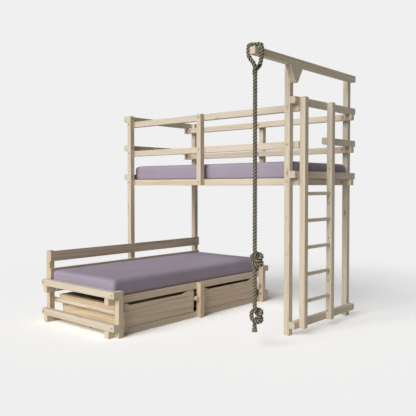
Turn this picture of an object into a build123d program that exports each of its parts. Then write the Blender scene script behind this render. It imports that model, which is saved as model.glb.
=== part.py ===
"""An L-shaped bunk bed: a high bed on tall posts with a low bed across its left half.

X runs along the high bed, Y along the low bed, and Z up. Sizes are in millimetres. The parts are
drawn from the outer corner of the post that both beds share, and written with the origin on the
floor in the middle of that post's foot.
"""
import math
import os
from build123d import *

# Stock: one squared timber for the posts, a higher one for the beams, and thinner boards
post_side = 52
beam_height = 57
beam_thickness = 52
edge_round = 3
board_thickness = 20
board_height = 93
board_round = 2

# Both beds: inner length between the end beams, and width over the posts
bed_length = 2010
bed_width = 1032
beam_overhang = 65

# Heights of the high bed
bunk_rail_base = 1238
level_pitch = 302
level_count = 3
foot_beam_base = 60

# Heights of the low bed
low_rail_base = 266
backrest_post_height = 637
backrest_gap = 4
mattress_board_base = 383

# Ladder
stile_front_offset = 69
stile_clear_width = 384
rung_diameter = 30
rung_count = 5
rung_first_height = 277
rung_pitch = 222.5
rung_socket_depth = 20
rung_play = 0.1

# Crane beam and its brace
crane_reach = 538
brace_top_width = 194
brace_foot_width = 26
brace_foot_round = 10
brace_height = 136
brace_bolt_drop = 86

# Mattresses: each layer's height as a share of the whole, and how far it stays inside the outline
mattress_height = 145
mattress_corner_round = 30
mattress_end_play = 2
mattress_side_play = 18
mattress_wall_gap = 2
mattress_draw_in = 7
mattress_height_shares = (0, 0.09, 0.45, 0.84, 0.93, 1)
mattress_base_shrink = 10
mattress_belly_shrink = 1
mattress_waist_shrink = 4
mattress_shoulder_shrink = 9
mattress_rim_shrink = 24
mattress_crown_shrink = 130

# Slats and the cleats that carry them
slat_width = 70
slat_thickness = 18
slat_round = 2
slat_count = 17
slat_play = 1
slat_end_margin = 60
cleat_width = 22
cleat_height = 30
cleat_end_margin = 25

# Drawers, their guide rods and runners
rod_diameter = 42
rod_flat_depth = 1
rod_height = 180
rod_end_setback = 15
drawer_side_gap = 46
drawer_gap = 4
drawer_side_height = 179
drawer_wall = 18
drawer_front_thickness = 20
drawer_front_proud = 7
drawer_bottom_thickness = 8
drawer_bottom_raise = 8
drawer_back_setback = 110
drawer_round = 2
groove_depth = 6
groove_play = 0.2
housing_depth = 6
runner_thickness = 32
runner_play = 0.3
grip_depth = 22
grip_near_margin = 60
grip_far_margin = 140
grip_near_slope = 35
grip_far_slope = 60

# Bolted joints: a flat-headed bolt in a cap nut, both sunk in the timber
bolt_diameter = 8
bolt_hole_diameter = 11
bolt_head_diameter = 18
bolt_head_thickness = 3.5
bolt_socket_radius = 3.5
bolt_socket_depth = 2.5
head_sink_diameter = 21
head_sink_depth = 4.5
nut_sleeve_diameter = 10
nut_sleeve_length = 20
nut_bore_diameter = 8.4
nut_bore_depth = 17
bolt_end_gap = 3
spare_hole_diameter = 9
left_spare_count = 2
right_spare_count = 3

# Wood screws
screw_diameter = 4.5
screw_head_diameter = 9
screw_head_height = 2.5
screw_grip = 25
screw_hole_play = 0.1
screw_sink = 0.2
board_screw_spacing = 50
rod_screw_grip = 20
cleat_screw_count = 4
cleat_screw_margin = 120
runner_screw_count = 3
runner_screw_margin = 90
corner_screw_margin = 30
corner_screw_spacing = 90

# Climbing rope: its eye round the crane beam, its two overhand knots and its free end
rope_diameter = 34
rope_setback = 35
rope_seat_gap = 0.8
eye_half_width = 51
eye_turn = 26
eye_chamfer = 13
eye_arch = 3
eye_shoulder_drop = 14
eye_throat_drop = 71
splice_offset = 36
splice_drop = 73
upper_knot_height = 679.5
lower_knot_height = 258.5
rope_end_height = 138
knot_turn = 41.5
bend_share = 0.45

# First half of a knot, sideways, outwards and upwards from its middle, in shares of the diameter
knot_shares = (
    (0, 0, 3.294),
    (-0.012, 0.244, 1.926),
    (0.174, 0.332, 0.947),
    (0.641, -0.562, 0.25),
    (1.379, -0.526, -0.3),
    (1.621, 0.144, -0.888),
    (1.121, 1.003, -1.171),
    (0.038, 1.106, -1.126),
    (-0.594, 0.594, -0.65),
    (-0.706, 0, 0),
)

# Sizes and places that follow from the ones above
mattress_length = bed_length - 2 * mattress_end_play
mattress_width = bed_width - 2 * (post_side + mattress_side_play)
half_post = post_side / 2
half_beam = beam_height / 2
joint_thickness = post_side + beam_thickness
far_x = bed_length - post_side
far_y = bed_width - post_side
low_near_y = bed_width - bed_length
low_front_x = bed_width - post_side
level_base = [bunk_rail_base + level * level_pitch for level in range(level_count)]
crane_base = level_base[-1] + beam_height + level_pitch
tall_post_height = crane_base + beam_height
left_post_height = level_base[-1] + 2 * beam_height
bunk_rail_top = bunk_rail_base + beam_height
low_rail_top = low_rail_base + beam_height
low_post_height = low_rail_top + beam_height
outer_x = bed_length + beam_thickness
stile_x = outer_x + half_post
stile_back_offset = stile_front_offset + post_side + stile_clear_width
low_posts = ((0, low_near_y), (low_front_x, low_near_y), (low_front_x, 0), (low_front_x, far_y))
rail_inner = post_side + beam_thickness
backrest_base = backrest_post_height - backrest_gap - board_height
rod_offset = rod_diameter / 2 - rod_flat_depth
rod_flat_half = math.sqrt((rod_diameter / 2) ** 2 - rod_offset**2)

os.makedirs("parts", exist_ok=True)


def save(piece, name):
    """Moves a finished piece to the shared post's foot, labels it and writes it."""
    placed = piece.part.moved(Location((-half_post, -half_post, 0)))
    placed.label = name
    export_step(placed, f"parts/{name}.step")


def spread(first, last, count):
    """Gives evenly spaced places from the first to the last."""
    return [first + (last - first) * step / (count - 1) for step in range(count)]


# Every bolt is the point on the timber over its head and the way its head faces.
bolts = []
for base in level_base:
    for post_x in (0, low_front_x, far_x):
        bolts.append(((post_x + half_post, 0, base + half_beam), (0, -1, 0)))
        bolts.append(((post_x + half_post, bed_width, base + half_beam), (0, 1, 0)))
    end_axis = base + beam_height + half_beam
    bolts.append(((-beam_thickness, half_post, end_axis), (-1, 0, 0)))
    bolts.append(((-beam_thickness, far_y + half_post, end_axis), (-1, 0, 0)))
    bolts.append(((outer_x, far_y + half_post, end_axis), (1, 0, 0)))
    bolts.append(((outer_x + post_side, stile_back_offset + half_post, end_axis), (1, 0, 0)))
foot_axis = foot_beam_base + half_beam
for axis_height in (
    foot_axis,
    level_base[0] + beam_height + half_beam,
    level_base[-1] + beam_height + half_beam,
):
    bolts.append(((outer_x, half_post, axis_height), (1, 0, 0)))
    bolts.append(((outer_x + post_side, stile_front_offset + half_post, axis_height), (1, 0, 0)))
bolts.append(((outer_x, far_y + half_post, foot_axis), (1, 0, 0)))
bolts.append(((outer_x + post_side, stile_back_offset + half_post, foot_axis), (1, 0, 0)))
for post_y in (0, far_y):
    bolts.append(((outer_x, post_y + half_post, crane_base + half_beam), (1, 0, 0)))
bolts.append(((outer_x, half_post, crane_base - brace_bolt_drop), (1, 0, 0)))
for rail_axis in (half_beam, low_rail_base + half_beam):
    for post_y in (low_near_y, 0, far_y):
        bolts.append(((0, post_y + half_post, rail_axis), (-1, 0, 0)))
        bolts.append(((bed_width, post_y + half_post, rail_axis), (1, 0, 0)))
    for post_x in (0, low_front_x):
        end_axis = rail_axis + beam_height
        bolts.append(((post_x + half_post, low_near_y - beam_thickness, end_axis), (0, -1, 0)))
        bolts.append(((post_x + half_post, bed_width + beam_thickness, end_axis), (0, 1, 0)))

# Every wood screw is the point over its head, the way its head faces, and its length in wood.
frame_screws = []
board_screw_length = board_thickness + screw_grip
for board_base in (backrest_base, mattress_board_base):
    for post_y in (low_near_y, 0, far_y):
        for offset in (-board_screw_spacing / 2, board_screw_spacing / 2):
            height = board_base + board_height / 2 + offset
            head = (post_side + board_thickness, post_y + half_post, height)
            frame_screws.append((head, (1, 0, 0), board_screw_length))
rods = ((low_near_y + post_side, 1), (0, -1), (post_side, 1), (far_y, -1))
rod_screw_length = rod_diameter - rod_flat_depth + rod_screw_grip
for face_y, facing in rods:
    for post_x in (0, low_front_x):
        outer_y = face_y + facing * (rod_diameter - rod_flat_depth)
        head = (post_x + half_post, outer_y, rod_height)
        frame_screws.append((head, (0, facing, 0), rod_screw_length))
cleat_screw_length = cleat_width + screw_grip
cleat_face = rail_inner + cleat_width
bunk_cleat_axis = bunk_rail_top - slat_thickness - cleat_height / 2
for x in spread(cleat_screw_margin, bed_length - cleat_screw_margin, cleat_screw_count):
    frame_screws.append(((x, cleat_face, bunk_cleat_axis), (0, 1, 0), cleat_screw_length))
    head = (x, bed_width - cleat_face, bunk_cleat_axis)
    frame_screws.append((head, (0, -1, 0), cleat_screw_length))
low_cleat_axis = low_rail_top - slat_thickness - cleat_height / 2
for y in spread(low_near_y + cleat_screw_margin, bed_width - cleat_screw_margin, cleat_screw_count):
    frame_screws.append(((cleat_face, y, low_cleat_axis), (1, 0, 0), cleat_screw_length))
    head = (bed_width - cleat_face, y, low_cleat_axis)
    frame_screws.append((head, (-1, 0, 0), cleat_screw_length))


def along(head, facing, depth):
    """Gives the point that far into the wood from a head."""
    return tuple(h - f * depth for h, f in zip(head, facing))


def inside(point, low, high):
    """Says whether a point lies in the box between two corners."""
    return all(a <= value <= b for value, a, b in zip(point, low, high))


def near_seat(bolt):
    """Gives the plane over a bolt's head, facing out of the timber."""
    (head, facing) = bolt
    return Plane(origin=head, z_dir=facing)


def far_seat(bolt):
    """Gives the plane over a bolt's cap nut, facing out of the timber there."""
    (head, facing) = bolt
    return Plane(origin=along(head, facing, joint_thickness), z_dir=tuple(-f for f in facing))


def drill(low, high):
    """Bores and sinks the bolt and screw holes that run through the timber in hand."""
    for head, facing in bolts:
        probes = [along(head, facing, joint_thickness * share) for share in (0.25, 0.75)]
        if any(inside(probe, low, high) for probe in probes):
            with Locations(near_seat((head, facing)), far_seat((head, facing))):
                CounterBoreHole(
                    radius=bolt_hole_diameter / 2,
                    counter_bore_radius=head_sink_diameter / 2,
                    counter_bore_depth=head_sink_depth,
                    depth=joint_thickness / 2 + bolt_hole_diameter,
                )
    for head, facing, length in frame_screws:
        if inside(along(head, facing, length), low, high):
            screw_holes([(head, facing, length)])


def screw_holes(screws):
    """Bores and sinks the holes of the given screws in the part in hand."""
    for head, facing, length in screws:
        with Locations(Plane(origin=head, z_dir=facing)):
            CounterSinkHole(
                radius=screw_diameter / 2 + screw_hole_play,
                counter_sink_radius=screw_head_diameter / 2 + screw_sink,
                depth=length + screw_hole_play,
            )


def bar(low, high):
    """Adds a square-edged bar between two corners to the part in hand."""
    size = [b - a for a, b in zip(low, high)]
    with BuildSketch(Plane.XY.offset(low[2])) as section:
        with Locations((low[0] + size[0] / 2, low[1] + size[1] / 2)):
            Rectangle(size[0], size[1])
    extrude(section.sketch, amount=size[2])


def timber(name, low, high, spares=()):
    """Makes one post or beam with its bolt, screw and spare holes, and writes it."""
    with BuildPart() as piece:
        bar(low, high)
        fillet(piece.edges(), edge_round)
        drill(low, high)
        if spares:
            with Locations(*spares):
                Hole(radius=spare_hole_diameter / 2, depth=post_side)
    save(piece, name)


def spare_planes(x, y, count):
    """Lists the spare holes of a tall post, one pitch apart below the high bed."""
    planes = []
    for step in range(1, count + 1):
        rail_axis = level_base[0] + half_beam - step * level_pitch
        planes.append(Plane(origin=(x + half_post, y, rail_axis), z_dir=(0, -1, 0)))
        end_axis = rail_axis + beam_height
        planes.append(Plane(origin=(x, y + half_post, end_axis), z_dir=(-1, 0, 0)))
    return planes


# High bed: four corner posts, and two short middle posts outside the rails
for name, x, y, height, spare_count in (
    ("post_front_left", 0, 0, left_post_height, left_spare_count),
    ("post_back_left", 0, far_y, left_post_height, left_spare_count),
    ("post_front_right", far_x, 0, tall_post_height, right_spare_count),
    ("post_back_right", far_x, far_y, tall_post_height, right_spare_count),
):
    high = (x + post_side, y + post_side, height)
    timber(name, (x, y, 0), high, spare_planes(x, y, spare_count))
for name, y in (("post_front_middle", 0), ("post_back_middle", far_y)):
    low = (low_front_x, y, level_base[0])
    high = (low_front_x + post_side, y + post_side, level_base[-1] + beam_height)
    timber(name, low, high)

# High bed: rails along X inside the posts, and end beams along Y on the rails' ends
back_rail_end = bed_length + beam_overhang
for level, base in zip(("bottom", "middle", "top"), level_base):
    for side, rail_y, end_x in (
        ("front", post_side, outer_x),
        ("back", far_y - beam_thickness, back_rail_end),
    ):
        low = (-beam_overhang, rail_y, base)
        timber(f"rail_{side}_{level}", low, (end_x, rail_y + beam_thickness, base + beam_height))
    low_z = base + beam_height
    high_z = low_z + beam_height
    timber(f"left_beam_{level}", (-beam_thickness, 0, low_z), (0, bed_width, high_z))
    start_y = stile_back_offset if level == "middle" else 0
    timber(f"right_beam_{level}", (bed_length, start_y, low_z), (outer_x, bed_width, high_z))
low = (bed_length, 0, foot_beam_base)
high = (outer_x, bed_width, foot_beam_base + beam_height)
timber("foot_beam", low, high)

# Crane beam with its brace
low = (bed_length, -crane_reach, crane_base)
high = (outer_x, bed_width, crane_base + beam_height)
timber("crane_beam", low, high)
with BuildPart() as crane_brace:
    with BuildSketch(Plane.YZ.offset(bed_length)) as brace_section:
        with BuildLine():
            Polyline(
                (half_post - brace_top_width / 2, crane_base),
                (half_post + brace_top_width / 2, crane_base),
                (half_post + brace_foot_width / 2, crane_base - brace_height),
                (half_post - brace_foot_width / 2, crane_base - brace_height),
                close=True,
            )
        make_face()
        fillet(brace_section.vertices().sort_by(Axis.Y)[:2], brace_foot_round)
    extrude(amount=beam_thickness)
    fillet(crane_brace.edges(), edge_round)
    drill((bed_length, 0, crane_base - brace_height), (outer_x, post_side, crane_base))
save(crane_brace, "crane_brace")

# Ladder: two stiles on the end beams, and round rungs in blind holes
rung_heights = [rung_first_height + step * rung_pitch for step in range(rung_count)]
for name, stile_y, inner_y, facing in (
    ("ladder_stile_front", stile_front_offset, stile_front_offset + post_side, 1),
    ("ladder_stile_back", stile_back_offset, stile_back_offset, -1),
):
    low = (outer_x, stile_y, foot_beam_base)
    high = (outer_x + post_side, stile_y + post_side, left_post_height)
    with BuildPart() as stile:
        bar(low, high)
        fillet(stile.edges(), edge_round)
        drill(low, high)
        for height in rung_heights:
            with Locations(Plane(origin=(stile_x, inner_y, height), z_dir=(0, facing, 0))):
                Hole(radius=rung_diameter / 2 + rung_play, depth=rung_socket_depth)
    save(stile, name)
rung_middle_y = (stile_front_offset + post_side + stile_back_offset) / 2
rung_length = stile_clear_width + 2 * (rung_socket_depth - rung_play)
with BuildPart() as ladder_rungs:
    for height in rung_heights:
        with Locations(Plane(origin=(stile_x, rung_middle_y, height), z_dir=(0, 1, 0))):
            Cylinder(radius=rung_diameter / 2, height=rung_length)
save(ladder_rungs, "ladder_rungs")

# Low bed: corner post of the backrest, two short corner posts and a middle post
low_post_names = ("low_post_wall", "low_post_near", "low_post_middle", "low_post_far")
low_post_heights = (backrest_post_height, low_post_height, low_rail_top, low_post_height)
for name, (x, y), height in zip(low_post_names, low_posts, low_post_heights):
    timber(name, (x, y, 0), (x + post_side, y + post_side, height))

# Low bed: rails along Y inside the posts, and end beams along X on the rails' ends
for level, base in (("floor", 0), ("side", low_rail_base)):
    for side, rail_x in (("wall", post_side), ("front", low_front_x - beam_thickness)):
        low = (rail_x, low_near_y - beam_overhang, base)
        high = (rail_x + beam_thickness, bed_width + beam_overhang, base + beam_height)
        timber(f"low_{level}_rail_{side}", low, high)
    for end, beam_y in (("near", low_near_y - beam_thickness), ("far", bed_width)):
        low = (0, beam_y, base + beam_height)
        high = (bed_width, beam_y + beam_thickness, base + 2 * beam_height)
        timber(f"low_{level}_beam_{end}", low, high)

# Boards along the wall side of the low bed: the backrest, and one beside the mattress
for name, base in (("backrest_board", backrest_base), ("mattress_board", mattress_board_base)):
    with BuildPart() as board:
        bar(
            (post_side, low_near_y, base),
            (post_side + board_thickness, bed_width, base + board_height),
        )
        fillet(board.edges(), board_round)
        screw_holes([s for s in frame_screws if base < s[0][2] < base + board_height])
    save(board, name)

# Round guide rods for the drawers, each with a flat against its posts
with BuildPart() as drawer_rods:
    with BuildSketch(Plane.YZ.offset(rod_end_setback)) as rod_section:
        for face_y, facing in rods:
            with BuildLine():
                outline = ThreePointArc(
                    (face_y, rod_height - rod_flat_half),
                    (face_y + facing * (rod_diameter - rod_flat_depth), rod_height),
                    (face_y, rod_height + rod_flat_half),
                )
                Line(outline @ 1, outline @ 0)
            make_face()
    extrude(rod_section.sketch, amount=bed_width - 2 * rod_end_setback)
    screw_holes([s for s in frame_screws if s[0][2] == rod_height])
save(drawer_rods, "drawer_rods")

# Slats of both beds, lying across between the rails
slat_length = bed_width - 2 * (rail_inner + slat_play)
with BuildPart() as upper_slats:
    for x in spread(slat_end_margin, bed_length - slat_end_margin, slat_count):
        bar(
            (x - slat_width / 2, rail_inner + slat_play, bunk_rail_top - slat_thickness),
            (x + slat_width / 2, bed_width - rail_inner - slat_play, bunk_rail_top),
        )
    fillet(upper_slats.edges().filter_by(Axis.Y), slat_round)
save(upper_slats, "upper_slats")
with BuildPart() as lower_slats:
    for y in spread(low_near_y + slat_end_margin, bed_width - slat_end_margin, slat_count):
        bar(
            (rail_inner + slat_play, y - slat_width / 2, low_rail_top - slat_thickness),
            (bed_width - rail_inner - slat_play, y + slat_width / 2, low_rail_top),
        )
    fillet(lower_slats.edges().filter_by(Axis.X), slat_round)
save(lower_slats, "lower_slats")

# Cleats under the slats' ends, screwed to the rails' inner faces
with BuildPart() as slat_cleats:
    for near, far in ((rail_inner, cleat_face), (bed_width - cleat_face, bed_width - rail_inner)):
        bar(
            (cleat_end_margin, near, bunk_cleat_axis - cleat_height / 2),
            (bed_length - cleat_end_margin, far, bunk_cleat_axis + cleat_height / 2),
        )
        bar(
            (near, low_near_y + cleat_end_margin, low_cleat_axis - cleat_height / 2),
            (far, bed_width - cleat_end_margin, low_cleat_axis + cleat_height / 2),
        )
    fillet(slat_cleats.edges(), slat_round)
    screw_holes([s for s in frame_screws if s[0][2] in (bunk_cleat_axis, low_cleat_axis)])
save(slat_cleats, "slat_cleats")

# Mattresses: layers with drawn-in sides, widest near the base, under a shallow crown
mattress_shrinks = (
    mattress_base_shrink,
    mattress_belly_shrink,
    mattress_waist_shrink,
    mattress_shoulder_shrink,
    mattress_rim_shrink,
    mattress_crown_shrink,
)
for name, low_x, low_y, size_x, size_y, base in (
    (
        "upper_mattress",
        mattress_end_play,
        far_y - mattress_wall_gap - mattress_width,
        mattress_length,
        mattress_width,
        bunk_rail_top,
    ),
    (
        "lower_mattress",
        post_side + board_thickness + mattress_wall_gap,
        low_near_y + mattress_end_play,
        mattress_width,
        mattress_length,
        low_rail_top,
    ),
):
    with BuildPart() as mattress:
        for share, shrink in zip(mattress_height_shares, mattress_shrinks):
            a = size_x / 2 - shrink
            b = size_y / 2 - shrink
            middle = (low_x + size_x / 2, low_y + size_y / 2, base + share * mattress_height)
            with BuildSketch(Plane(origin=middle)) as layer:
                with BuildLine():
                    ThreePointArc((-a, -b), (0, mattress_draw_in - b), (a, -b))
                    ThreePointArc((a, -b), (a - mattress_draw_in, 0), (a, b))
                    ThreePointArc((a, b), (0, b - mattress_draw_in), (-a, b))
                    ThreePointArc((-a, b), (mattress_draw_in - a, 0), (-a, -b))
                make_face()
                fillet(layer.vertices(), mattress_corner_round)
        loft(ruled=True)
    save(mattress, name)

# Drawers: one in each bay between the posts, hung by runners on the guide rods
drawer_base = beam_height + drawer_gap
front_top = low_rail_base - drawer_gap
front_face_x = bed_width - post_side + drawer_front_proud
front_back_x = front_face_x - drawer_front_thickness
drawer_side_top = drawer_base + drawer_side_height
drawer_back_x = drawer_back_setback
back_inner_x = drawer_back_x + drawer_wall
runner_base = rod_height + rod_diameter / 2 + runner_play
bottom_low = drawer_base + drawer_bottom_raise
bottom_high = bottom_low + drawer_bottom_thickness
for drawer, bay in (("near", (low_near_y + post_side, 0)), ("far", (post_side, far_y))):
    near_y = bay[0] + drawer_side_gap
    far_side_y = bay[1] - drawer_side_gap
    drawer_width = far_side_y - near_y
    sides = ((near_y, near_y + drawer_wall), (far_side_y - drawer_wall, far_side_y))
    drawer_screws = []
    for outer, inner, facing in ((near_y, sides[0][1], 1), (far_side_y, sides[1][0], -1)):
        first = drawer_back_x + runner_screw_margin
        last = front_back_x - runner_screw_margin
        for x in spread(first, last, runner_screw_count):
            head = (x, inner, (runner_base + drawer_side_top) / 2)
            drawer_screws.append((head, (0, facing, 0), drawer_wall + screw_grip))
        for step in range(2):
            height = drawer_base + corner_screw_margin + step * corner_screw_spacing
            head = (drawer_back_x + drawer_wall / 2, outer, height)
            drawer_screws.append((head, (0, -facing, 0), drawer_wall + screw_grip))

    # Front board with a sloped hand grip in its top edge, housings for the sides and a groove
    with BuildPart() as front:
        bar((front_back_x, near_y, drawer_base), (front_face_x, far_side_y, front_top))
        fillet(front.edges(), drawer_round)
        grip_low = front_top - grip_depth
        with BuildSketch(Plane.YZ.offset(front_back_x)):
            with BuildLine():
                Polyline(
                    (near_y + grip_near_margin - grip_near_slope, front_top),
                    (near_y + grip_near_margin, grip_low),
                    (far_side_y - grip_far_margin, grip_low),
                    (far_side_y - grip_far_margin + grip_far_slope, front_top),
                    close=True,
                )
            make_face()
        extrude(amount=drawer_front_thickness, mode=Mode.SUBTRACT)
        for low_y, high_y in sides:
            with BuildSketch(Plane.XY.offset(drawer_base)):
                with Locations((front_back_x + housing_depth / 2, (low_y + high_y) / 2)):
                    Rectangle(housing_depth, high_y - low_y)
            extrude(amount=drawer_side_height, mode=Mode.SUBTRACT)
        with BuildSketch(Plane.XY.offset(bottom_low - groove_play)):
            with Locations((front_back_x + groove_depth / 2, near_y + drawer_width / 2)):
                Rectangle(groove_depth, drawer_width - 2 * drawer_wall)
        extrude(amount=drawer_bottom_thickness + 2 * groove_play, mode=Mode.SUBTRACT)
    save(front, f"{drawer}_drawer_front")

    # Both sides, with a groove for the bottom and holes for the screws
    with BuildPart() as side_boards:
        for low_y, high_y in sides:
            low = (drawer_back_x, low_y, drawer_base)
            bar(low, (front_back_x + housing_depth, high_y, drawer_side_top))
        groove_low = near_y + drawer_wall - groove_depth
        groove_width = drawer_width - 2 * (drawer_wall - groove_depth)
        run = front_back_x + housing_depth - drawer_back_x
        with BuildSketch(Plane.XY.offset(bottom_low - groove_play)):
            with Locations((drawer_back_x + run / 2, groove_low + groove_width / 2)):
                Rectangle(run, groove_width)
        extrude(amount=drawer_bottom_thickness + 2 * groove_play, mode=Mode.SUBTRACT)
        screw_holes(drawer_screws)
    save(side_boards, f"{drawer}_drawer_sides")

    # Back board between the sides, with a groove and screw holes in its ends
    with BuildPart() as back:
        low = (drawer_back_x, sides[0][1], drawer_base)
        bar(low, (back_inner_x, sides[1][0], drawer_side_top))
        with BuildSketch(Plane.XY.offset(bottom_low - groove_play)):
            with Locations((back_inner_x - groove_depth / 2, near_y + drawer_width / 2)):
                Rectangle(groove_depth, drawer_width)
        extrude(amount=drawer_bottom_thickness + 2 * groove_play, mode=Mode.SUBTRACT)
        screw_holes([s for s in drawer_screws if s[0][0] < back_inner_x])
    save(back, f"{drawer}_drawer_back")

    # Bottom panel, let into the grooves all round
    with BuildPart() as bottom:
        reach = groove_depth - groove_play
        bar(
            (back_inner_x - reach, sides[0][1] - reach, bottom_low),
            (front_back_x + reach, sides[1][0] + reach, bottom_high),
        )
    save(bottom, f"{drawer}_drawer_bottom")

    # Runners outside the sides, lying over the guide rods
    with BuildPart() as runners:
        for low_y in (near_y - runner_thickness, far_side_y):
            low = (drawer_back_x, low_y, runner_base)
            bar(low, (front_back_x, low_y + runner_thickness, drawer_side_top))
        fillet(runners.edges(), drawer_round)
        screw_holes([s for s in drawer_screws if s[0][0] > back_inner_x])
    save(runners, f"{drawer}_drawer_runners")

    # The drawer's wood screws
    with BuildPart() as screws:
        for head, facing, length in drawer_screws:
            tip = along(head, facing, length)
            with Locations(Plane(origin=tip, z_dir=facing)):
                shank = length - screw_sink - screw_head_height
                low_end = (Align.CENTER, Align.CENTER, Align.MIN)
                Cylinder(screw_diameter / 2, shank, align=low_end)
                with Locations((0, 0, shank)):
                    Cone(screw_diameter / 2, screw_head_diameter / 2, screw_head_height, align=low_end)
    save(screws, f"{drawer}_drawer_screws")

# Wood screws of the boards, rods and cleats
with BuildPart() as frame_screw_set:
    for head, facing, length in frame_screws:
        tip = along(head, facing, length)
        with Locations(Plane(origin=tip, z_dir=facing)):
            shank = length - screw_sink - screw_head_height
            low_end = (Align.CENTER, Align.CENTER, Align.MIN)
            Cylinder(screw_diameter / 2, shank, align=low_end)
            with Locations((0, 0, shank)):
                Cone(screw_diameter / 2, screw_head_diameter / 2, screw_head_height, align=low_end)
save(frame_screw_set, "frame_screws")

# Bolts of the frame, with hexagon sockets in their flat heads
head_floor = -head_sink_depth
with BuildPart() as frame_bolts:
    shank = joint_thickness - 2 * head_sink_depth - (nut_sleeve_length - nut_bore_depth) - bolt_end_gap
    with Locations(*[near_seat(bolt) for bolt in bolts]):
        with Locations((0, 0, head_floor)):
            low_end = (Align.CENTER, Align.CENTER, Align.MIN)
            high_end = (Align.CENTER, Align.CENTER, Align.MAX)
            Cylinder(bolt_head_diameter / 2, bolt_head_thickness, align=low_end)
            Cylinder(bolt_diameter / 2, shank, align=high_end)
    socket_planes = [near_seat(bolt).offset(head_floor + bolt_head_thickness) for bolt in bolts]
    with BuildSketch(*socket_planes) as sockets:
        RegularPolygon(bolt_socket_radius, 6)
    extrude(amount=-bolt_socket_depth, mode=Mode.SUBTRACT)
save(frame_bolts, "frame_bolts")

# Cap nuts at the other ends of the bolts
with BuildPart() as frame_nuts:
    with Locations(*[far_seat(bolt) for bolt in bolts]):
        with Locations((0, 0, head_floor)):
            low_end = (Align.CENTER, Align.CENTER, Align.MIN)
            high_end = (Align.CENTER, Align.CENTER, Align.MAX)
            Cylinder(bolt_head_diameter / 2, bolt_head_thickness, align=low_end)
            Cylinder(nut_sleeve_diameter / 2, nut_sleeve_length, align=high_end)
        with Locations((0, 0, head_floor - nut_sleeve_length)):
            Cylinder(nut_bore_diameter / 2, nut_bore_depth, align=low_end, mode=Mode.SUBTRACT)
save(frame_nuts, "frame_nuts")

# Climbing rope: an eye over the crane beam, a straight fall, two overhand knots and a short tail
rope_x = outer_x - beam_thickness / 2
rope_y = rope_setback - crane_reach
rope_top = tall_post_height + rope_diameter / 2 + rope_seat_gap
eye_cos = math.cos(math.radians(eye_turn))
eye_sin = math.sin(math.radians(eye_turn))
route = []
for sideways, height in (
    (splice_offset, crane_base - splice_drop),
    (eye_half_width, crane_base - eye_shoulder_drop),
    (eye_half_width, rope_top + eye_arch - eye_chamfer),
    (eye_half_width - eye_chamfer, rope_top + eye_arch),
    (0, rope_top),
    (eye_chamfer - eye_half_width, rope_top + eye_arch),
    (-eye_half_width, rope_top + eye_arch - eye_chamfer),
    (-eye_half_width, crane_base - eye_shoulder_drop),
    (0, crane_base - eye_throat_drop),
):
    route.append((rope_x + sideways * eye_cos, rope_y + sideways * eye_sin, height))
knot_cos = math.cos(math.radians(knot_turn))
knot_sin = math.sin(math.radians(knot_turn))
second_half = [(s, -o, -u) for s, o, u in reversed(knot_shares[:-1])]
for knot_height in (upper_knot_height, lower_knot_height):
    for sideways, outwards, upwards in list(knot_shares) + second_half:
        s = sideways * rope_diameter
        o = outwards * rope_diameter
        x = rope_x + s * knot_cos + o * knot_sin
        y = rope_y + s * knot_sin - o * knot_cos
        route.append((x, y, knot_height + upwards * rope_diameter))
route[-1] = (rope_x, rope_y, rope_end_height)
radii = []
for before, corner, after in zip(route, route[1:], route[2:]):
    run_in = Vector(corner) - Vector(before)
    run_out = Vector(after) - Vector(corner)
    half_turn = math.radians(run_in.get_angle(run_out)) / 2
    radii.append(bend_share * min(run_in.length, run_out.length) / math.tan(half_turn))
with BuildPart() as climbing_rope:
    with BuildLine() as rope_line:
        FilletPolyline(*route, radius=radii)
    with BuildSketch(Plane(origin=rope_line.line @ 0, z_dir=rope_line.line % 0)):
        Circle(rope_diameter / 2)
    sweep(path=rope_line.line)
save(climbing_rope, "climbing_rope")
rope_length = rope_line.wire().length
rope_volume = math.pi * rope_diameter**2 / 4 * rope_length
print("rope bend radii", [round(radius, 1) for radius in radii])
rope_share = climbing_rope.part.volume / rope_volume
print("rope length", round(rope_length, 1), "volume over section times length", rope_share)
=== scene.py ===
import math
import random
import bmesh
import bpy
import numpy as np
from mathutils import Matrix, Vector


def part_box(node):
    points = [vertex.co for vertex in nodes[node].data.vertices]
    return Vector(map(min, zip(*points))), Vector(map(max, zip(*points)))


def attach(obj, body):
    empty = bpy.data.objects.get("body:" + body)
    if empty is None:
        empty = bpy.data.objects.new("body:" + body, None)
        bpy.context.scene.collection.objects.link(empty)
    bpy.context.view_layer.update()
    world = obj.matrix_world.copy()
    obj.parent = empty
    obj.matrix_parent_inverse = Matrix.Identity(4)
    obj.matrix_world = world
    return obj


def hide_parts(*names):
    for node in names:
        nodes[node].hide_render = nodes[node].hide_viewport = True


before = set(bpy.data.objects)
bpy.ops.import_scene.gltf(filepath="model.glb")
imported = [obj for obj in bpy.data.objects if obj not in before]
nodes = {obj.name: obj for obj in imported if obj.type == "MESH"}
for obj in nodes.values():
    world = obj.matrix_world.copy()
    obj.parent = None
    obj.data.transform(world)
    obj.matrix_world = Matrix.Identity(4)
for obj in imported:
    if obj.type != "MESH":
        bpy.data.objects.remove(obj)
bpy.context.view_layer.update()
scene = bpy.context.scene

# The photographer's place: a little above the middle of the bed, in front of its right corner,
# far enough away for the timbers to converge only gently.
camera_data = bpy.data.cameras.new("camera")
camera_data.sensor_width = 36
camera_data.lens = 49.42
camera_data.shift_y = -0.01277
camera_data.clip_end = 100
camera = bpy.data.objects.new("camera", camera_data)
camera.location = (4.56767, -3.94914, 1.22926)
camera.rotation_euler = (math.pi / 2 - 0.029, 0, 0.724)
scene.collection.objects.link(camera)
scene.camera = camera

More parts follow.
